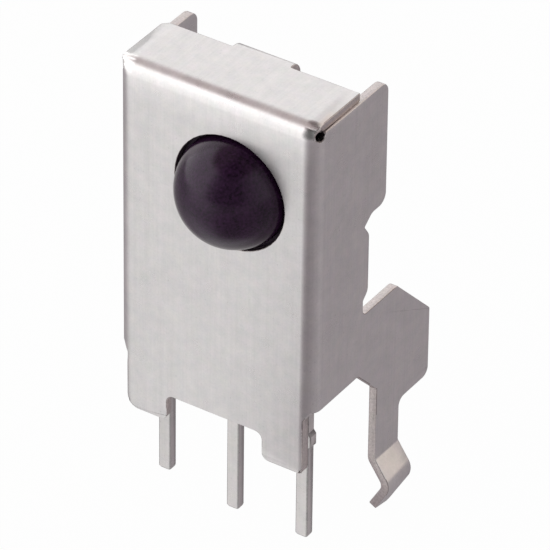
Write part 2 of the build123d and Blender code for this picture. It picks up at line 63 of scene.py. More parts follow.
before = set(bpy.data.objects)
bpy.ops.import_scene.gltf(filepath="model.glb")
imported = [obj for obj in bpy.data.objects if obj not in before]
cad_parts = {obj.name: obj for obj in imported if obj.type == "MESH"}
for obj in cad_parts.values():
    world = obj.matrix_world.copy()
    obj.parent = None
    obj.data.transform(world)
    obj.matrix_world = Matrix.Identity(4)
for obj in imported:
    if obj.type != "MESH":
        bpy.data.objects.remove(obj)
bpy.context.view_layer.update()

MM = 0.001
MERGE_DISTANCE = 1e-7           # joins the loose triangles' shared corners
FLAT_ANGLE = radians(0.3)       # faces that turn less than this are one flat face
EDGE_ANGLE = radians(40)        # edges sharper than this are rounded
ROUNDING_STEPS = 2              # faces round each of them
FOLD_ANGLE = radians(28)        # a fold's true normal is never further from the mesh's than this
SLANTED = 0.97                  # a normal's largest part, below which a bar's face is slanted
START_DEPTH = 0.05              # probe's start under the face, as a share of the strip
FACE_DEPTH = 1.06               # what lies behind the strip's own face is no deeper than this
ROUNDING_DEPTH = 1.75           # the same behind a rounding; behind a sheared edge it is deeper
LENS_ANGLE = radians(30)        # body's edges sharper than this stay crisp
LENS_SPLITS = 2                 # how often the dome's faces are halved
LENS_SLACK = 0.03               # how far off the sphere the dome's points are, by its radius

LEADS = ("lead_output", "lead_ground", "lead_supply")
CHIPS = {"photodiode_chip": "photodiode_silicon", "amplifier_chip": "amplifier_silicon"}
ADHESIVES = ("photodiode_adhesive", "amplifier_adhesive")
WIRES = ("photodiode_signal_wire", "photodiode_bias_wire", "output_wire", "ground_wire",
         "supply_wire")

# ---- Studio cards, and painted light and shade on the table: how bright metal sees them, by azimuth; None is the window ----
WORLD_LEVELS = ((-180, 1.05), (-135, 1.05), (-108, None), (-46, None), (-32, 1.7), (-16, 0.5),
                (0, 0.15), (40, 0.12), (60, 0.4), (85, 0.75), (125, 0.9), (180, 1.05))
# painted light and shade on the table, by azimuth, seen only in reflections
TABLE_LEVELS = ((-180, 0.35), (-105, 0.38), (-72, 0.5), (-48, 0.85), (-30, 0.87), (-12, 0.72),
                (2, 0.42), (16, 0.28), (40, 0.29), (80, 0.38), (112, 0.43), (135, 0.38),
                (180, 0.35))
NEAR_LEVEL = 0.86               # painted light on the table close in front of the leads, seen only in reflections
WHITE = (1, 1, 1, 1)
TABLE_SHADE_TINT = (1, 0.91, 0.96, 1)  # tint of the painted shade on the table, seen only in reflections
TOP_TINT = (1, 0.8, 0.8, 1)     # card overhead
WARM_TINT = (0.92, 0.83, 0.765, 1)      # card behind the object at the right
TABLE_GREY = (0.9, 0.9, 0.9, 1)
AIM_POINT = (0.85953 * MM, 0.77571 * MM, 5.32645 * MM)
SENSOR_WIDTH = 36               # millimetres
SOFTBOX_TURN, SOFTBOX_RISE = -33, 16    # degrees from straight ahead, degrees up
SOFTBOX_DISTANCE, SOFTBOX_WIDTH, SOFTBOX_HEIGHT = 0.25, 0.22, 0.2

# ---- Sealed-in pieces: colour, roughness, metallic and how fine the mottling is ----
INSIDE = {
    "photodiode_silicon": ((0.05, 0.06, 0.12), 0.15, 0.0, 3000.0),
    "amplifier_silicon": ((0.2, 0.19, 0.18), 0.2, 0.0, 8000.0),
    "die_attach": ((0.55, 0.55, 0.54), 0.55, 0.0, 6000.0),
    "bond_gold": ((0.9, 0.66, 0.28), 0.2, 1.0, 9000.0),
}


# ---- Sizes and colours that a user would change ----

class ShieldFinish(PropertyGroup):
    """Tin-plated strip of the shield."""
    tin: FloatVectorProperty(
        name="Tin", description="Colour of the tin plating", subtype="COLOR",
        size=4, min=0, max=1, default=(0.76, 0.735, 0.73, 1))
    roughness: FloatProperty(
        name="Roughness", description="How satin the plating is", min=0, max=1,
        subtype="FACTOR", default=0.3)
    edge_round: FloatProperty(
        name="Edge rounding", description="Radius that stamping leaves on the strip's edges",
        unit="LENGTH", min=0, max=0.0001, precision=6, default=0.00003)
    sheet: FloatProperty(
        name="Sheet", description="Thickness of the strip, which tells cut edges from faces",
        unit="LENGTH", precision=6, default=0.00028)
    front_bend: FloatProperty(
        name="Front bend", description="Outside radius of the folds round the front",
        unit="LENGTH", precision=6, default=0.0005)
    fold_levels: FloatVectorProperty(
        name="Fold levels", description="Heights where the folds are split, for even shading",
        unit="LENGTH", size=7, precision=6,
        default=(0.00018, 0.00045, 0.0016, 0.0025, 0.012, 0.01206, 0.01211))
    run_out: FloatProperty(
        name="Run-out", description="How far below the top fold the panel still leans",
        unit="LENGTH", precision=6, default=0.0009)
    lean: FloatProperty(
        name="Lean", description="Panel's lean where the top fold starts", subtype="ANGLE",
        default=radians(7))
    cut_tin: FloatVectorProperty(
        name="Cut edge", description="Colour of the strip's sheared edges", subtype="COLOR",
        size=4, min=0, max=1, default=(0.66, 0.6, 0.585, 1))
    line_spacing: FloatProperty(
        name="Line spacing", description="Width of the rolling lines", unit="LENGTH",
        min=0.00001, precision=6, default=0.00009)
    line_depth: FloatProperty(
        name="Line depth", description="Strength of the rolling lines", min=0, max=1,
        subtype="FACTOR", default=0.15)


class LensFinish(PropertyGroup):
    """Dark epoxy of the lens and body."""
    epoxy: FloatVectorProperty(
        name="Epoxy", description="Colour of the moulded epoxy", subtype="COLOR",
        size=4, min=0, max=1, default=(0.02, 0.0065, 0.022, 1))
    lens_side: FloatProperty(
        name="Lens to the side", description="Lens axis, to the right of the middle lead",
        unit="LENGTH", precision=6, default=0.000505)
    lens_height: FloatProperty(
        name="Lens height", description="Lens axis above the board", unit="LENGTH", precision=6,
        default=0.00931)
    lens_radius: FloatProperty(
        name="Lens radius", description="Radius of the half-round lens", unit="LENGTH",
        precision=6, default=0.001845)
    lens_roughness: FloatProperty(
        name="Lens roughness", description="Polish of the lens", min=0, max=1,
        subtype="FACTOR", default=0.2)
    body_roughness: FloatProperty(
        name="Body roughness", description="Finish of the mould's flat faces", min=0, max=1,
        subtype="FACTOR", default=0.5)


class LeadFinish(PropertyGroup):
    """Tin-plated leads."""
    tin: FloatVectorProperty(
        name="Lead tin", description="Colour of the leads", subtype="COLOR",
        size=4, min=0, max=1, default=(0.74, 0.71, 0.7, 1))
    roughness: FloatProperty(
        name="Roughness", description="How satin the leads are", min=0, max=1,
        subtype="FACTOR", default=0.3)
    edge_round: FloatProperty(
        name="Edge rounding", description="Radius on the leads' edges", unit="LENGTH",
        min=0, max=0.0001, precision=6, default=0.00004)
    line_spacing: FloatProperty(
        name="Line spacing", description="Width of the rolling lines", unit="LENGTH",
        min=0.00001, precision=6, default=0.00006)
    line_depth: FloatProperty(
        name="Line depth", description="Strength of the rolling lines", min=0, max=1,
        subtype="FACTOR", default=0.15)


class StudioSettings(PropertyGroup):
    """Camera, lamps and floor."""
    azimuth: FloatProperty(
        name="Azimuth", description="Camera to the right of the lens's axis",
        subtype="ANGLE", default=radians(33.0806))
    elevation: FloatProperty(
        name="Elevation", description="Camera above the board's plane", subtype="ANGLE",
        default=radians(35.0636))
    roll: FloatProperty(
        name="Roll", description="Camera's turn about its own axis", subtype="ANGLE",
        default=radians(0.7111))
    distance: FloatProperty(
        name="Distance", description="Camera to the point it looks at", unit="LENGTH",
        default=0.19405)
    focal_length: FloatProperty(
        name="Focal length", description="Camera's lens, in millimetres on a 36 mm sensor",
        default=420.1)
    ambient: FloatProperty(
        name="Ambient", description="Strength of the even light from all round", min=0,
        default=0.6)
    key: FloatProperty(
        name="Key", description="Brightness of the softbox at the left", min=0, default=1.6)
    window: FloatProperty(
        name="Window", description="Brightness of the white card at the left, in metal", min=0,
        default=1.8)
    table_reach: FloatProperty(
        name="Table reach", description="Middle of the table to its edges", unit="LENGTH",
        default=2.0)
    table_white: FloatProperty(
        name="Table white", description="How much of its shadow the white table hides", min=0,
        max=1, subtype="FACTOR", default=0.97)
    top_card: FloatProperty(
        name="Top card", description="Brightness of the grey card overhead", min=0, max=1,
        default=0.2)


# ---- Meshes ----

def plain_mesh(node, name, splits=()):
    """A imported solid's mesh, joined up, with whole flats, split by (point, normal) planes."""
    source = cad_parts[node].data.copy()
    bm = bmesh.new()
    bm.from_mesh(source)
    bpy.data.meshes.remove(source)
    bmesh.ops.remove_doubles(bm, verts=bm.verts, dist=MERGE_DISTANCE)
    bmesh.ops.dissolve_limit(bm, angle_limit=FLAT_ANGLE, use_dissolve_boundaries=False,
                             verts=bm.verts, edges=bm.edges, delimit=set())
    for point, normal in splits:
        bmesh.ops.bisect_plane(bm, geom=[*bm.verts, *bm.edges, *bm.faces], plane_co=point,
                               plane_no=normal, dist=MERGE_DISTANCE)
    mesh = bpy.data.meshes.new(name)
    bm.to_mesh(mesh)
    bm.free()
    for attribute in list(mesh.attributes):
        if attribute.name == "custom_normal":
            mesh.attributes.remove(attribute)
    mesh.materials.clear()
    return mesh


def rounded_copy(node, name, edge_round, splits=()):
    """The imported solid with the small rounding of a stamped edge."""
    mesh = plain_mesh(node, name, splits)
    mesh.shade_smooth()
    piece = bpy.data.objects.new(name, mesh)
    bpy.context.scene.collection.objects.link(piece)
    bevel = piece.modifiers.new("Stamped edges", "BEVEL")
    bevel.width = edge_round
    bevel.segments = ROUNDING_STEPS
    bevel.limit_method = "ANGLE"
    bevel.angle_limit = EDGE_ANGLE
    bevel.use_clamp_overlap = False
    bevel.miter_outer = "MITER_ARC"
    weighted = piece.modifiers.new("Flat faces", "WEIGHTED_NORMAL")
    weighted.weight = 100
    bake_modifiers(piece)
    return piece


def smooth_front_folds(mesh, low, high, radius, run_out, lean):
    """Gives the folds round the front the true normals of their cylinders and corners.

    The panel already leans back by a small angle where the top fold starts, and is upright again
    below its run-out.
    """
    width = -low.x - radius
    front = low.y + radius
    top = high.z - radius
    normals = [Vector(corner.vector) for corner in mesh.corner_normals]
    for polygon in mesh.polygons:
        for loop in polygon.loop_indices:
            place = mesh.vertices[mesh.loops[loop].vertex_index].co
            out = Vector((place.x - min(max(place.x, -width), width), place.y - front,
                          max(place.z - top, 0)))
            if place.y >= front or place.z < top - run_out and abs(place.x) <= width:
                continue
            rise = atan2(out.z, -out.y) / (pi / 2)
            share = min(1 - rise, max(1 - (top - place.z) / run_out, 0))
            out.normalize()
            out.rotate(Quaternion((1, 0, 0), -lean * share))
            side = out if out.dot(normals[loop]) > 0 else -out
            if side.dot(normals[loop]) > cos(FOLD_ANGLE):
                normals[loop] = side
    mesh.normals_split_custom_set([tuple(normal) for normal in normals])


def lens_rounding():
    """Geometry Nodes that split the moulded faces and seat the dome's points on its sphere."""
    tree, given, out = group_tree("Round lens", "GeometryNodeTree", [
        ("Geometry", "NodeSocketGeometry", None),
        ("Centre", "NodeSocketVector", None),
        ("Radius", "NodeSocketFloat", None),
        ("Slack", "NodeSocketFloat", None),
        ("Levels", "NodeSocketInt", None),
        ("Material", "NodeSocketMaterial", None),
    ], [("Geometry", "NodeSocketGeometry")])
    split = add(tree, "GeometryNodeSubdivideMesh", {"Mesh": given["Geometry"],
                                                    "Level": given["Levels"]}).outputs[0]
    place = add(tree, "GeometryNodeInputPosition").outputs[0]
    arm = vector_maths(tree, "SUBTRACT", place, given["Centre"])
    reach = vector_maths(tree, "LENGTH", arm)
    off = maths(tree, "ABSOLUTE", maths(tree, "SUBTRACT", reach, given["Radius"]))
    ahead = add(tree, "ShaderNodeSeparateXYZ", {0: arm}).outputs["Y"]
    on_dome = maths(tree, "MULTIPLY", maths(tree, "LESS_THAN", off, given["Slack"]),
                    maths(tree, "LESS_THAN", ahead, MERGE_DISTANCE))
    unit = vector_maths(tree, "NORMALIZE", arm)
    seated = vector_maths(tree, "ADD", scaled(tree, unit, given["Radius"]), given["Centre"])
    moved = add(tree, "GeometryNodeSetPosition", {"Geometry": split, "Selection": on_dome,
                                                  "Position": seated}).outputs[0]
    real = add(tree, "GeometryNodeRealizeInstances", {"Geometry": moved}).outputs[0]
    finished = add(tree, "GeometryNodeSetMaterial", {"Geometry": real,
                                                     "Material": given["Material"]}).outputs[0]
    tree.links.new(finished, out["Geometry"])
    return tree


def add_nodes_modifier(piece, tree, values):
    """Adds a Geometry Nodes modifier, its named inputs set by their sockets' identifiers."""
    modifier = piece.modifiers.new(tree.name, "NODES")
    modifier.node_group = tree
    for item in tree.interface.items_tree:
        if item.in_out == "INPUT" and item.name in values:
            modifier[item.identifier] = values[item.name]


def mark_cut_faces(mesh, sheet):
    """Face attribute "cut": 0 on the strip's own faces, 1 on sheared edges, 2 on roundings, which
    get painted shade.
    """
    tree = BVHTree.FromPolygons([v.co for v in mesh.vertices],
                                [tuple(p.vertices) for p in mesh.polygons])
    cut = mesh.attributes.new("cut", "FLOAT", "FACE")
    mesh.calc_loop_triangles()
    largest = {}
    for triangle in mesh.loop_triangles:
        best = largest.get(triangle.polygon_index)
        if best is None or triangle.area > best.area:
            largest[triangle.polygon_index] = triangle
    start = sheet * START_DEPTH
    for index, triangle in largest.items():
        inward = -mesh.polygons[index].normal
        depth = tree.ray_cast(triangle.center + inward * start, inward,
                              sheet * ROUNDING_DEPTH - start)[3]
        if depth is None:
            cut.data[index].value = 1.0
        elif depth + start > sheet * FACE_DEPTH:
            cut.data[index].value = 2.0


def mark_slanted_faces(mesh):
    """The same attribute on a square bar: 2 on its roundings and on the bevels of its tip, which
    get painted shade.
    """
    cut = mesh.attributes.new("cut", "FLOAT", "FACE")
    for polygon in mesh.polygons:
        if max(abs(part) for part in polygon.normal) < SLANTED:
            cut.data[polygon.index].value = 2.0


def bake_modifiers(piece):
    """Turns a piece's modifiers into its plain mesh."""
    graph = bpy.context.evaluated_depsgraph_get()
    baked = bpy.data.meshes.new_from_object(piece.evaluated_get(graph))
    old = piece.data
    piece.modifiers.clear()
    piece.data = baked
    bpy.data.meshes.remove(old)
    baked.name = piece.name


def dress(piece, node, material):
    """Gives a piece its finish and its place on the body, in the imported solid's stead."""
    piece.data.materials.clear()
    piece.data.materials.append(material)
    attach(piece, "root")
    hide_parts(node)


# ---- Materials ----

def add(tree, kind, inputs=None, **settings):
    """A new node with its settings and the values or links of its inputs."""
    node = tree.nodes.new(kind)
    for key, value in settings.items():
        setattr(node, key, value)
    for key, value in (inputs or {}).items():
        socket = node.inputs[key]
        if isinstance(value, bpy.types.NodeSocket):
            tree.links.new(value, socket)
        else:
            socket.default_value = value
    return node


def maths(tree, operation, *values):
    """A Math node's result."""
    return add(tree, "ShaderNodeMath", dict(enumerate(values)), operation=operation).outputs[0]


def vector_maths(tree, operation, *values):
    """A Vector Math node's result: a vector, or a number for a length."""
    node = add(tree, "ShaderNodeVectorMath", dict(enumerate(values)), operation=operation)
    return node.outputs["Value" if operation == "LENGTH" else "Vector"]


def scaled(tree, vector, factor):
    """A vector or colour times a number."""
    return add(tree, "ShaderNodeVectorMath", {0: vector, "Scale": factor},
               operation="SCALE").outputs[0]


def noise(tree, place, scale, detail, roughness=0.5):
    """A Noise Texture's outputs: a value, then a colour."""
    return add(tree, "ShaderNodeTexNoise", {"Vector": place, "Scale": scale, "Detail": detail,
                                            "Roughness": roughness}).outputs


def map_range(tree, value, low, high, start, end, kind="LINEAR"):
    """A value between low and high, brought between start and end."""
    return add(tree, "ShaderNodeMapRange", {"Value": value, "From Min": low, "From Max": high,
                                            "To Min": start, "To Max": end},
               interpolation_type=kind).outputs[0]


def two_tone(tree, value, low, high, start=0.0, end=1.0):
    """A colour from low to high, as a value goes from start to end."""
    ramp = add(tree, "ShaderNodeValToRGB", {"Fac": value})
    for element, colour, position in zip(ramp.color_ramp.elements, (low, high), (start, end)):
        element.position = position
        element.color = (*colour, 1)
    return ramp.outputs[0]


def new_material(name):
    """An empty material with its shader and output."""
    material = bpy.data.materials.new(name)
    material.use_nodes = True
    tree = material.node_tree
    tree.nodes.clear()
    shader = add(tree, "ShaderNodeBsdfPrincipled")
    add(tree, "ShaderNodeOutputMaterial", {"Surface": shader.outputs[0]})
    coordinates = add(tree, "ShaderNodeTexCoord").outputs["Object"]
    return material, tree, shader, coordinates


def group_tree(name, kind_of_tree, inputs, outputs):
    """A node group with named sockets; returns it with what it is given and what it puts out."""
    tree = bpy.data.node_groups.new(name, kind_of_tree)
    for label, kind, default in inputs:
        socket = tree.interface.new_socket(label, in_out="INPUT", socket_type=kind)
        if default is not None:
            socket.default_value = default
    for label, kind in outputs:
        tree.interface.new_socket(label, in_out="OUTPUT", socket_type=kind)
    given = tree.nodes.new("NodeGroupInput").outputs
    return tree, given, tree.nodes.new("NodeGroupOutput").inputs


def mix(tree, kind, factor, a, b):
    """A Mix node's result, blending two values or links of one data type."""
    node = add(tree, "ShaderNodeMix", {"Factor": factor}, data_type=kind)
    socket_kind = "VALUE" if kind == "FLOAT" else kind
    for name, value in (("A", a), ("B", b)):
        socket = next(i for i in node.inputs if i.name == name and i.type == socket_kind)
        if isinstance(value, bpy.types.NodeSocket):
            tree.links.new(value, socket)
        else:
            socket.default_value = value
    return next(o for o in node.outputs if o.type == socket_kind)


def rolled_metal_group():
    """Rolling lines, mottling and pits of plated strip, the grain of its sheared edges, and painted
    shade on its roundings.
    """
    name = "Rolled metal"
    if name in bpy.data.node_groups:
        return bpy.data.node_groups[name]
    tree, given, out = group_tree(name, "ShaderNodeTree", [
        ("Vector", "NodeSocketVector", None),
        ("Tint", "NodeSocketColor", (0.75, 0.72, 0.71, 1)),
        ("Cut tint", "NodeSocketColor", (0.5, 0.45, 0.43, 1)),
        ("Cut", "NodeSocketFloat", 0.0),
        ("Roughness", "NodeSocketFloat", 0.3),
        ("Line frequency", "NodeSocketFloat", 10000.0),
        ("Line depth", "NodeSocketFloat", 0.12),
        ("Mottle", "NodeSocketFloat", 0.17),
    ], [
        ("Color", "NodeSocketColor"),
        ("Roughness", "NodeSocketFloat"),
        ("Height", "NodeSocketFloat"),
    ])
    here = given["Vector"]
    cut = maths(tree, "MINIMUM", given["Cut"], 1.0)
    # painted shade: the roundings, marked 2, are darkened further down
    edge = maths(tree, "MAXIMUM", maths(tree, "SUBTRACT", given["Cut"], 1.0), 0.0)
    normal = add(tree, "ShaderNodeNewGeometry").outputs["Normal"]
    up = add(tree, "ShaderNodeSeparateXYZ", {0: normal}).outputs["Z"]
    level = maths(tree, "GREATER_THAN", maths(tree, "ABSOLUTE", up), 0.7)
    # the lines run down the upright faces and front to back over the level ones
    upright = vector_maths(tree, "MULTIPLY", here, (1, 1, 0.02))
    flat = vector_maths(tree, "MULTIPLY", here, (1, 0.02, 1))
    along = mix(tree, "VECTOR", level, upright, flat)
    lines = noise(tree, along, given["Line frequency"], 3.0, 0.6)[0]
    clouds = noise(tree, here, 900.0, 4.0, 0.55)[0]
    grain = noise(tree, here, 14000.0, 2.0)[0]
    patches = noise(tree, here, 2600.0, 3.0, 0.6)
    pits = map_range(tree, grain, 0.24, 0.3, 1.0, 0.0)
    # colour: lines, mottling and grain lighten or darken the tin, pits darken it, and painted shade
    # darkens the roundings
    shade = maths(tree, "SUBTRACT", 1.0, maths(tree, "MULTIPLY", pits, 0.15))
    grain_part = maths(tree, "MULTIPLY", maths(tree, "SUBTRACT", grain, 0.5),
                       maths(tree, "ADD", maths(tree, "MULTIPLY", cut, 0.5), 0.12))
    for pattern, depth in ((lines, given["Line depth"]),
                           (clouds, given["Mottle"]),
                           (patches[0], given["Mottle"])):
        shade = maths(tree, "ADD", shade,
                      maths(tree, "MULTIPLY", maths(tree, "SUBTRACT", pattern, 0.5), depth))
    shade = maths(tree, "ADD", shade, grain_part)
    # painted shade on the roundings
    shade = maths(tree, "MULTIPLY", shade,
                  maths(tree, "SUBTRACT", 1.0, maths(tree, "MULTIPLY", edge, 0.4)))
    tint = mix(tree, "RGBA", cut, given["Tint"], given["Cut tint"])
    hue = vector_maths(tree, "MULTIPLY_ADD", patches[1], (0.07, 0.07, 0.07),
                       (0.965, 0.965, 0.965))
    tint = vector_maths(tree, "MULTIPLY", tint, hue)
    tree.links.new(scaled(tree, tint, shade), out["Color"])
    rough = maths(tree, "ADD", given["Roughness"],
                  maths(tree, "MULTIPLY", maths(tree, "SUBTRACT", clouds, 0.5), 0.2))
    rough = maths(tree, "ADD", rough, maths(tree, "MULTIPLY", cut, 0.08))
    tree.links.new(rough, out["Roughness"])
    height = maths(tree, "SUBTRACT", lines, maths(tree, "MULTIPLY", pits, 0.5))
    cut_grain = maths(tree, "MULTIPLY", maths(tree, "MULTIPLY", grain, cut), 3.0)
    height = maths(tree, "ADD", height, cut_grain)
    tree.links.new(height, out["Height"])
    return tree


def plated_material(name, tint, cut_tint, roughness, line_spacing, line_depth):
    """Tin plating over rolled strip, with its sheared edges by the face attribute "cut", and
    painted shade on its roundings.
    """
    material, tree, shader, here = new_material(name)
    cut = add(tree, "ShaderNodeAttribute", attribute_name="cut").outputs["Fac"]
    rolled = add(tree, "ShaderNodeGroup", node_tree=rolled_metal_group())
    for socket, value in (("Tint", tint), ("Cut tint", cut_tint), ("Roughness", roughness),
                          ("Line frequency", 1 / line_spacing), ("Line depth", line_depth)):
        rolled.inputs[socket].default_value = value
    tree.links.new(here, rolled.inputs["Vector"])
    tree.links.new(cut, rolled.inputs["Cut"])
    tree.links.new(rolled.outputs["Color"], shader.inputs["Base Color"])
    tree.links.new(rolled.outputs["Roughness"], shader.inputs["Roughness"])
    bump = add(tree, "ShaderNodeBump",
               {"Strength": 0.25, "Distance": 0.000004, "Height": rolled.outputs["Height"]})
    tree.links.new(bump.outputs[0], shader.inputs["Normal"])
    shader.inputs["Metallic"].default_value = 1.0
    return material


def epoxy_material(settings):
    """Dark violet epoxy: polished on the lens, satin on the rest of the body."""
    material, tree, shader, here = new_material("dark_epoxy")
    clouds = noise(tree, here, 1500.0, 3.0)[0]
    speckle = noise(tree, here, 12000.0, 2.0)[0]
    colour = Vector(settings.epoxy[:3])
    tone = two_tone(tree, mix(tree, "FLOAT", 0.65, clouds, speckle), colour * 0.3, colour * 1.8,
                    0.3, 0.7)
    tree.links.new(tone, shader.inputs["Base Color"])
    ahead = maths(tree, "MULTIPLY", add(tree, "ShaderNodeSeparateXYZ", {0: here}).outputs["Y"], -1)
    finish = map_range(tree, ahead, 1.0 * MM, 1.1 * MM, settings.body_roughness,
                       settings.lens_roughness)
    tree.links.new(finish, shader.inputs["Roughness"])
    bump = add(tree, "ShaderNodeBump", {"Strength": 0.1, "Distance": 0.000003, "Height": speckle})
    tree.links.new(bump.outputs[0], shader.inputs["Normal"])
    shader.inputs["IOR"].default_value = 1.55
    shader.inputs["Specular IOR Level"].default_value = 0.28
    shader.inputs["Specular Tint"].default_value = (1, 0.9, 1, 1)
    return material


def solid_material(name, colour, roughness, metallic, mottle_scale):
    """A sealed-in piece's finish with a little mottling."""
    material, tree, shader, here = new_material(name)
    clouds = noise(tree, here, mottle_scale, 3.0)[0]
    tone = two_tone(tree, clouds, Vector(colour) * 0.8, Vector(colour) * 1.15)
    tree.links.new(tone, shader.inputs["Base Color"])
    shader.inputs["Roughness"].default_value = roughness
    shader.inputs["Metallic"].default_value = metallic
    return material


# ---- Operators ----

class RECEIVER_OT_shield(Operator):
    """Finish the folded shield in satin tin plate with rounded stamped edges"""
    bl_idname = "receiver.shield"
    bl_label = "Shield"

    def execute(self, context):
        settings = context.scene.shield_finish
        low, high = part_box("shield_case")
        flat_width = -low.x - settings.front_bend
        splits = [((0, 0, level), (0, 0, 1)) for level in settings.fold_levels]
        splits.append(((0, 0, high.z - settings.front_bend - settings.run_out), (0, 0, 1)))
        splits += [((side * flat_width * 0.98, 0, 0), (1, 0, 0))    # just inside the side folds
                   for side in (-1, 1)]
        piece = rounded_copy("shield_case", "tin_shield", settings.edge_round, splits)
        smooth_front_folds(piece.data, low, high, settings.front_bend, settings.run_out,
                           settings.lean)
        mark_cut_faces(piece.data, settings.sheet)
        material = plated_material("tin_plate", settings.tin, settings.cut_tin,
                                   settings.roughness, settings.line_spacing,
                                   settings.line_depth)
        dress(piece, "shield_case", material)
        return {"FINISHED"}


class RECEIVER_OT_lens(Operator):
    """Finish the moulded body and its lens in dark epoxy"""
    bl_idname = "receiver.lens"
    bl_label = "Lens and body"

    def execute(self, context):
        settings = context.scene.lens_finish
        material = epoxy_material(settings)
        mesh = plain_mesh("receiver_body", "moulded_body")
        piece = bpy.data.objects.new("moulded_body", mesh)
        context.scene.collection.objects.link(piece)
        triangles = piece.modifiers.new("Triangles", "TRIANGULATE")
        triangles.quad_method = "BEAUTY"
        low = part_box("receiver_body")[0]
        centre = (settings.lens_side, low.y + settings.lens_radius, settings.lens_height)
        add_nodes_modifier(piece, lens_rounding(), {
            "Centre": centre, "Radius": settings.lens_radius,
            "Slack": settings.lens_radius * LENS_SLACK, "Levels": LENS_SPLITS,
            "Material": material})
        bake_modifiers(piece)
        piece.data.shade_smooth()
        piece.data.set_sharp_from_angle(angle=LENS_ANGLE)
        dress(piece, "receiver_body", material)
        return {"FINISHED"}


class RECEIVER_OT_leads(Operator):
    """Finish the three leads in satin tin plate"""
    bl_idname = "receiver.leads"
    bl_label = "Leads"

    def execute(self, context):
        settings = context.scene.lead_finish
        material = plated_material("lead_tin", settings.tin, settings.tin, settings.roughness,
                                   settings.line_spacing, settings.line_depth)
        for node in LEADS:
            piece = rounded_copy(node, "plated_" + node, settings.edge_round)
            mark_slanted_faces(piece.data)
            dress(piece, node, material)
        return {"FINISHED"}


class RECEIVER_OT_chips(Operator):
    """Finish the chips, their adhesive and the bond wires sealed inside"""
    bl_idname = "receiver.chips"
    bl_label = "Chips and wires"

    def execute(self, context):
        finishes = {name: solid_material(name, *values) for name, values in INSIDE.items()}
        slots = dict(CHIPS)
        slots.update({node: "die_attach" for node in ADHESIVES})
        slots.update({node: "bond_gold" for node in WIRES})
        for node, slot in slots.items():
            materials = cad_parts[node].data.materials
            materials.clear()
            materials.append(finishes[slot])
        return {"FINISHED"}


def aim(obj, place, target):
    """Puts an object somewhere, its -Z towards a target."""
    obj.location = place
    obj.rotation_mode = "QUATERNION"
    obj.rotation_quaternion = (Vector(target) - Vector(place)).to_track_quat("-Z", "Y")


def direction(azimuth, elevation):
    """Unit vector from the object, in degrees: azimuth 0 is in front, 90 at the right."""
    a, e = radians(azimuth), radians(elevation)
    return Vector((sin(a) * cos(e), -cos(a) * cos(e), sin(e)))


def soft_lamp(name, centre, azimuth, elevation, distance, width, height, radiance):
    """A rectangular softbox of a given brightness."""
    data = bpy.data.lights.new(name, "AREA")
    data.shape = "RECTANGLE"
    data.size, data.size_y = width, height
    data.energy = radiance * pi * width * height
    lamp = bpy.data.objects.new(name, data)
    bpy.context.scene.collection.objects.link(lamp)
    aim(lamp, centre + direction(azimuth, elevation) * distance, centre)
    return lamp


def seen_and_mirrored(tree):
    """Masks for camera rays, and for rays that metal and glass send on."""
    path = add(tree, "ShaderNodeLightPath").outputs
    mirrored = maths(tree, "ADD", path["Is Glossy Ray"], path["Is Transmission Ray"])
    return path["Is Camera Ray"], maths(tree, "MINIMUM", mirrored, 1.0)


def studio_card(name, corners, material):
    """A flat card that belongs to the studio."""
    mesh = bpy.data.meshes.new(name)
    mesh.from_pydata([tuple(corner) for corner in corners], [], [(0, 1, 2, 3)])
    mesh.materials.append(material)
    card = bpy.data.objects.new(name, mesh)
    bpy.context.scene.collection.objects.link(card)
    card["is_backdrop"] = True


def round_the_object(tree, place, stops):
    """Brightness by azimuth from (degrees, brightness) stops; 0 is in front, 90 at the right."""
    axes = add(tree, "ShaderNodeSeparateXYZ", {0: place}).outputs
    turn = maths(tree, "ARCTAN2", axes["X"], maths(tree, "MULTIPLY", axes["Y"], -1))
    ramp = add(tree, "ShaderNodeValToRGB", {"Fac": map_range(tree, turn, -pi, pi, 0.0, 1.0)})
    elements = ramp.color_ramp.elements
    while len(elements) < len(stops):
        elements.new(0.5)
    for element, (azimuth, level) in zip(elements, stops):
        element.position = azimuth / 360 + 0.5
        element.color = (level / 2, level / 2, level / 2, 1)    # a ramp's colours stop at 1
    return maths(tree, "MULTIPLY", ramp.outputs[0], 2.0), axes


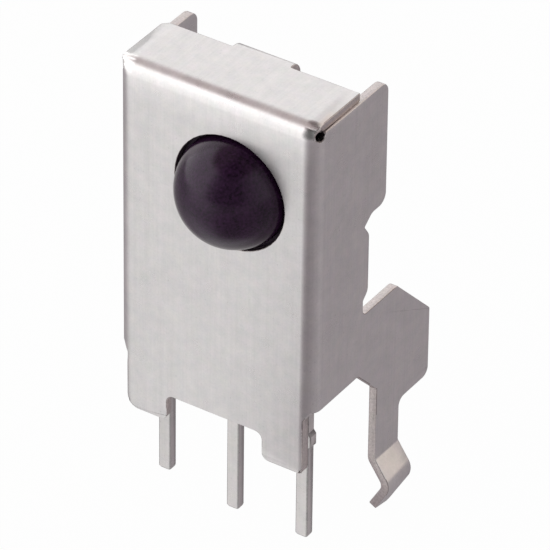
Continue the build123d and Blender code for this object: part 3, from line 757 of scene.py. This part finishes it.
def table_material(settings):
    """White table that keeps a soft shadow, and shows painted light and shade round the object in
    reflections.
    """
    material = bpy.data.materials.new("white_table")
    material.use_nodes = True
    tree = material.node_tree
    tree.nodes.clear()
    seen, mirrored = seen_and_mirrored(tree)
    here = add(tree, "ShaderNodeTexCoord").outputs["Object"]
    # painted light and shade for reflections: the table is lighter or darker by azimuth
    grey, axes = round_the_object(tree, here, TABLE_LEVELS)
    ahead = maths(tree, "MULTIPLY", axes["Y"], -1)
    # painted light: further ahead the table grows brighter
    far = map_range(tree, ahead, 20 * MM, 50 * MM, 1.0, 1.5, "SMOOTHSTEP")
    grey = maths(tree, "MULTIPLY", grey, far)
    # painted light close in front of the leads
    near = map_range(tree, vector_maths(tree, "LENGTH", here), 5 * MM, 9 * MM, 1.0, 0.0,
                     "SMOOTHSTEP")
    near = maths(tree, "MULTIPLY", near, maths(tree, "LESS_THAN", axes["Y"], 0.0))
    grey = mix(tree, "FLOAT", near, grey, NEAR_LEVEL)
    level = mix(tree, "FLOAT", mirrored, 1.0, grey)
    # the painted shade is tinted
    dark = maths(tree, "MULTIPLY", mirrored, map_range(tree, grey, 0.3, 0.75, 1.0, 0.0))
    tint = mix(tree, "RGBA", dark, WHITE, TABLE_SHADE_TINT)
    white = add(tree, "ShaderNodeEmission", {"Color": tint, "Strength": level}).outputs[0]
    lit = add(tree, "ShaderNodeBsdfDiffuse", {"Color": TABLE_GREY}).outputs[0]
    share = maths(tree, "ADD", maths(tree, "MULTIPLY", seen, settings.table_white), mirrored)
    top = add(tree, "ShaderNodeMixShader", {0: share, 1: lit, 2: white}).outputs[0]
    # seen from below, the table is clear
    below = maths(tree, "MULTIPLY", add(tree, "ShaderNodeNewGeometry").outputs["Backfacing"], seen)
    clear = add(tree, "ShaderNodeBsdfTransparent").outputs[0]
    both = add(tree, "ShaderNodeMixShader", {0: below, 1: top, 2: clear}).outputs[0]
    add(tree, "ShaderNodeOutputMaterial", {"Surface": both})
    return material


def studio_world(settings):
    """White all round; metal sees a bright window at the left and grey cards in front and above."""
    world = bpy.data.worlds.new("Studio")
    world.use_nodes = True
    tree = world.node_tree
    tree.nodes.clear()
    seen, mirrored = seen_and_mirrored(tree)
    towards = add(tree, "ShaderNodeTexCoord").outputs["Generated"]
    level, axes = round_the_object(
        tree, towards, [(azimuth, settings.window if bright is None else bright)
                        for azimuth, bright in WORLD_LEVELS])
    above = map_range(tree, axes["Z"], 0.74, 0.86, 1.0, settings.top_card, "SMOOTHSTEP")
    cards = maths(tree, "MULTIPLY", level, above)
    plain = mix(tree, "FLOAT", seen, settings.ambient, 1.0)
    dark = maths(tree, "MULTIPLY", mirrored,
                 map_range(tree, above, settings.top_card, 1.0, 1.0, 0.0))
    tint = mix(tree, "RGBA", dark, WHITE, TOP_TINT)
    right, behind = (map_range(tree, axes[axis], 0.1, 0.35, 0.0, 1.0) for axis in "XY")
    warm = maths(tree, "MULTIPLY", maths(tree, "MULTIPLY", right, behind), mirrored)
    tint = mix(tree, "RGBA", warm, tint, WARM_TINT)
    sky = add(tree, "ShaderNodeBackground",
              {"Color": tint, "Strength": mix(tree, "FLOAT", mirrored, plain, cards)})
    add(tree, "ShaderNodeOutputWorld", {"Surface": sky.outputs[0]})
    return world


class RECEIVER_OT_studio(Operator):
    """Set up the floor with its painted light and shade for reflections, the lamps, the grey cards
    and the camera
    """
    bl_idname = "receiver.studio"
    bl_label = "Studio"

    def execute(self, context):
        settings = context.scene.studio
        scene = context.scene
        low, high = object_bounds()
        centre = (low + high) / 2
        reach = settings.table_reach
        studio_card("table", [(-reach, -reach, low.z), (reach, -reach, low.z),
                              (reach, reach, low.z), (-reach, reach, low.z)],
                    table_material(settings))
        scene.world = studio_world(settings)
        lamp = soft_lamp("left_softbox", centre, SOFTBOX_TURN, SOFTBOX_RISE, SOFTBOX_DISTANCE,
                         SOFTBOX_WIDTH, SOFTBOX_HEIGHT, settings.key)
        lamp.visible_glossy = False
        camera = bpy.data.objects.new("camera", bpy.data.cameras.new("camera"))
        scene.collection.objects.link(camera)
        camera.data.sensor_width = SENSOR_WIDTH
        camera.data.lens = settings.focal_length
        camera.data.clip_start = 0.01
        camera.data.clip_end = 10
        target = Vector(AIM_POINT)
        place = target + direction(degrees(settings.azimuth),
                                   degrees(settings.elevation)) * settings.distance
        aim(camera, place, target)
        camera.rotation_quaternion = camera.rotation_quaternion @ Quaternion(
            (0, 0, 1), settings.roll)
        scene.camera = camera
        scene.view_settings.view_transform = "Standard"
        return {"FINISHED"}


class RECEIVER_PT_sidebar(Panel):
    """The finishes and the studio, in the 3D view's sidebar"""
    bl_label = "Receiver"
    bl_idname = "RECEIVER_PT_sidebar"
    bl_space_type = "VIEW_3D"
    bl_region_type = "UI"
    bl_category = "Receiver"

    def draw(self, context):
        for group, operator in GROUPS:
            box = self.layout.box()
            box.operator(operator)
            if group:
                settings = getattr(context.scene, group)
                for name in settings.__annotations__:
                    box.prop(settings, name)


GROUPS = [
    ("shield_finish", "receiver.shield"),
    ("lens_finish", "receiver.lens"),
    ("lead_finish", "receiver.leads"),
    (None, "receiver.chips"),
    ("studio", "receiver.studio"),
]
CLASSES = (ShieldFinish, LensFinish, LeadFinish, StudioSettings, RECEIVER_OT_shield,
           RECEIVER_OT_lens, RECEIVER_OT_leads, RECEIVER_OT_chips, RECEIVER_OT_studio,
           RECEIVER_PT_sidebar)


def register():
    for cls in CLASSES:
        bpy.utils.register_class(cls)
    bpy.types.Scene.shield_finish = PointerProperty(type=ShieldFinish)
    bpy.types.Scene.lens_finish = PointerProperty(type=LensFinish)
    bpy.types.Scene.lead_finish = PointerProperty(type=LeadFinish)
    bpy.types.Scene.studio = PointerProperty(type=StudioSettings)


def unregister():
    for name in ("shield_finish", "lens_finish", "lead_finish", "studio"):
        delattr(bpy.types.Scene, name)
    for cls in reversed(CLASSES):
        bpy.utils.unregister_class(cls)


def main():
    """Registers the add-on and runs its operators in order."""
    register()
    bpy.ops.receiver.shield()
    bpy.ops.receiver.lens()
    bpy.ops.receiver.leads()
    bpy.ops.receiver.chips()
    bpy.ops.receiver.studio()


if __name__ == "__main__":
    main()
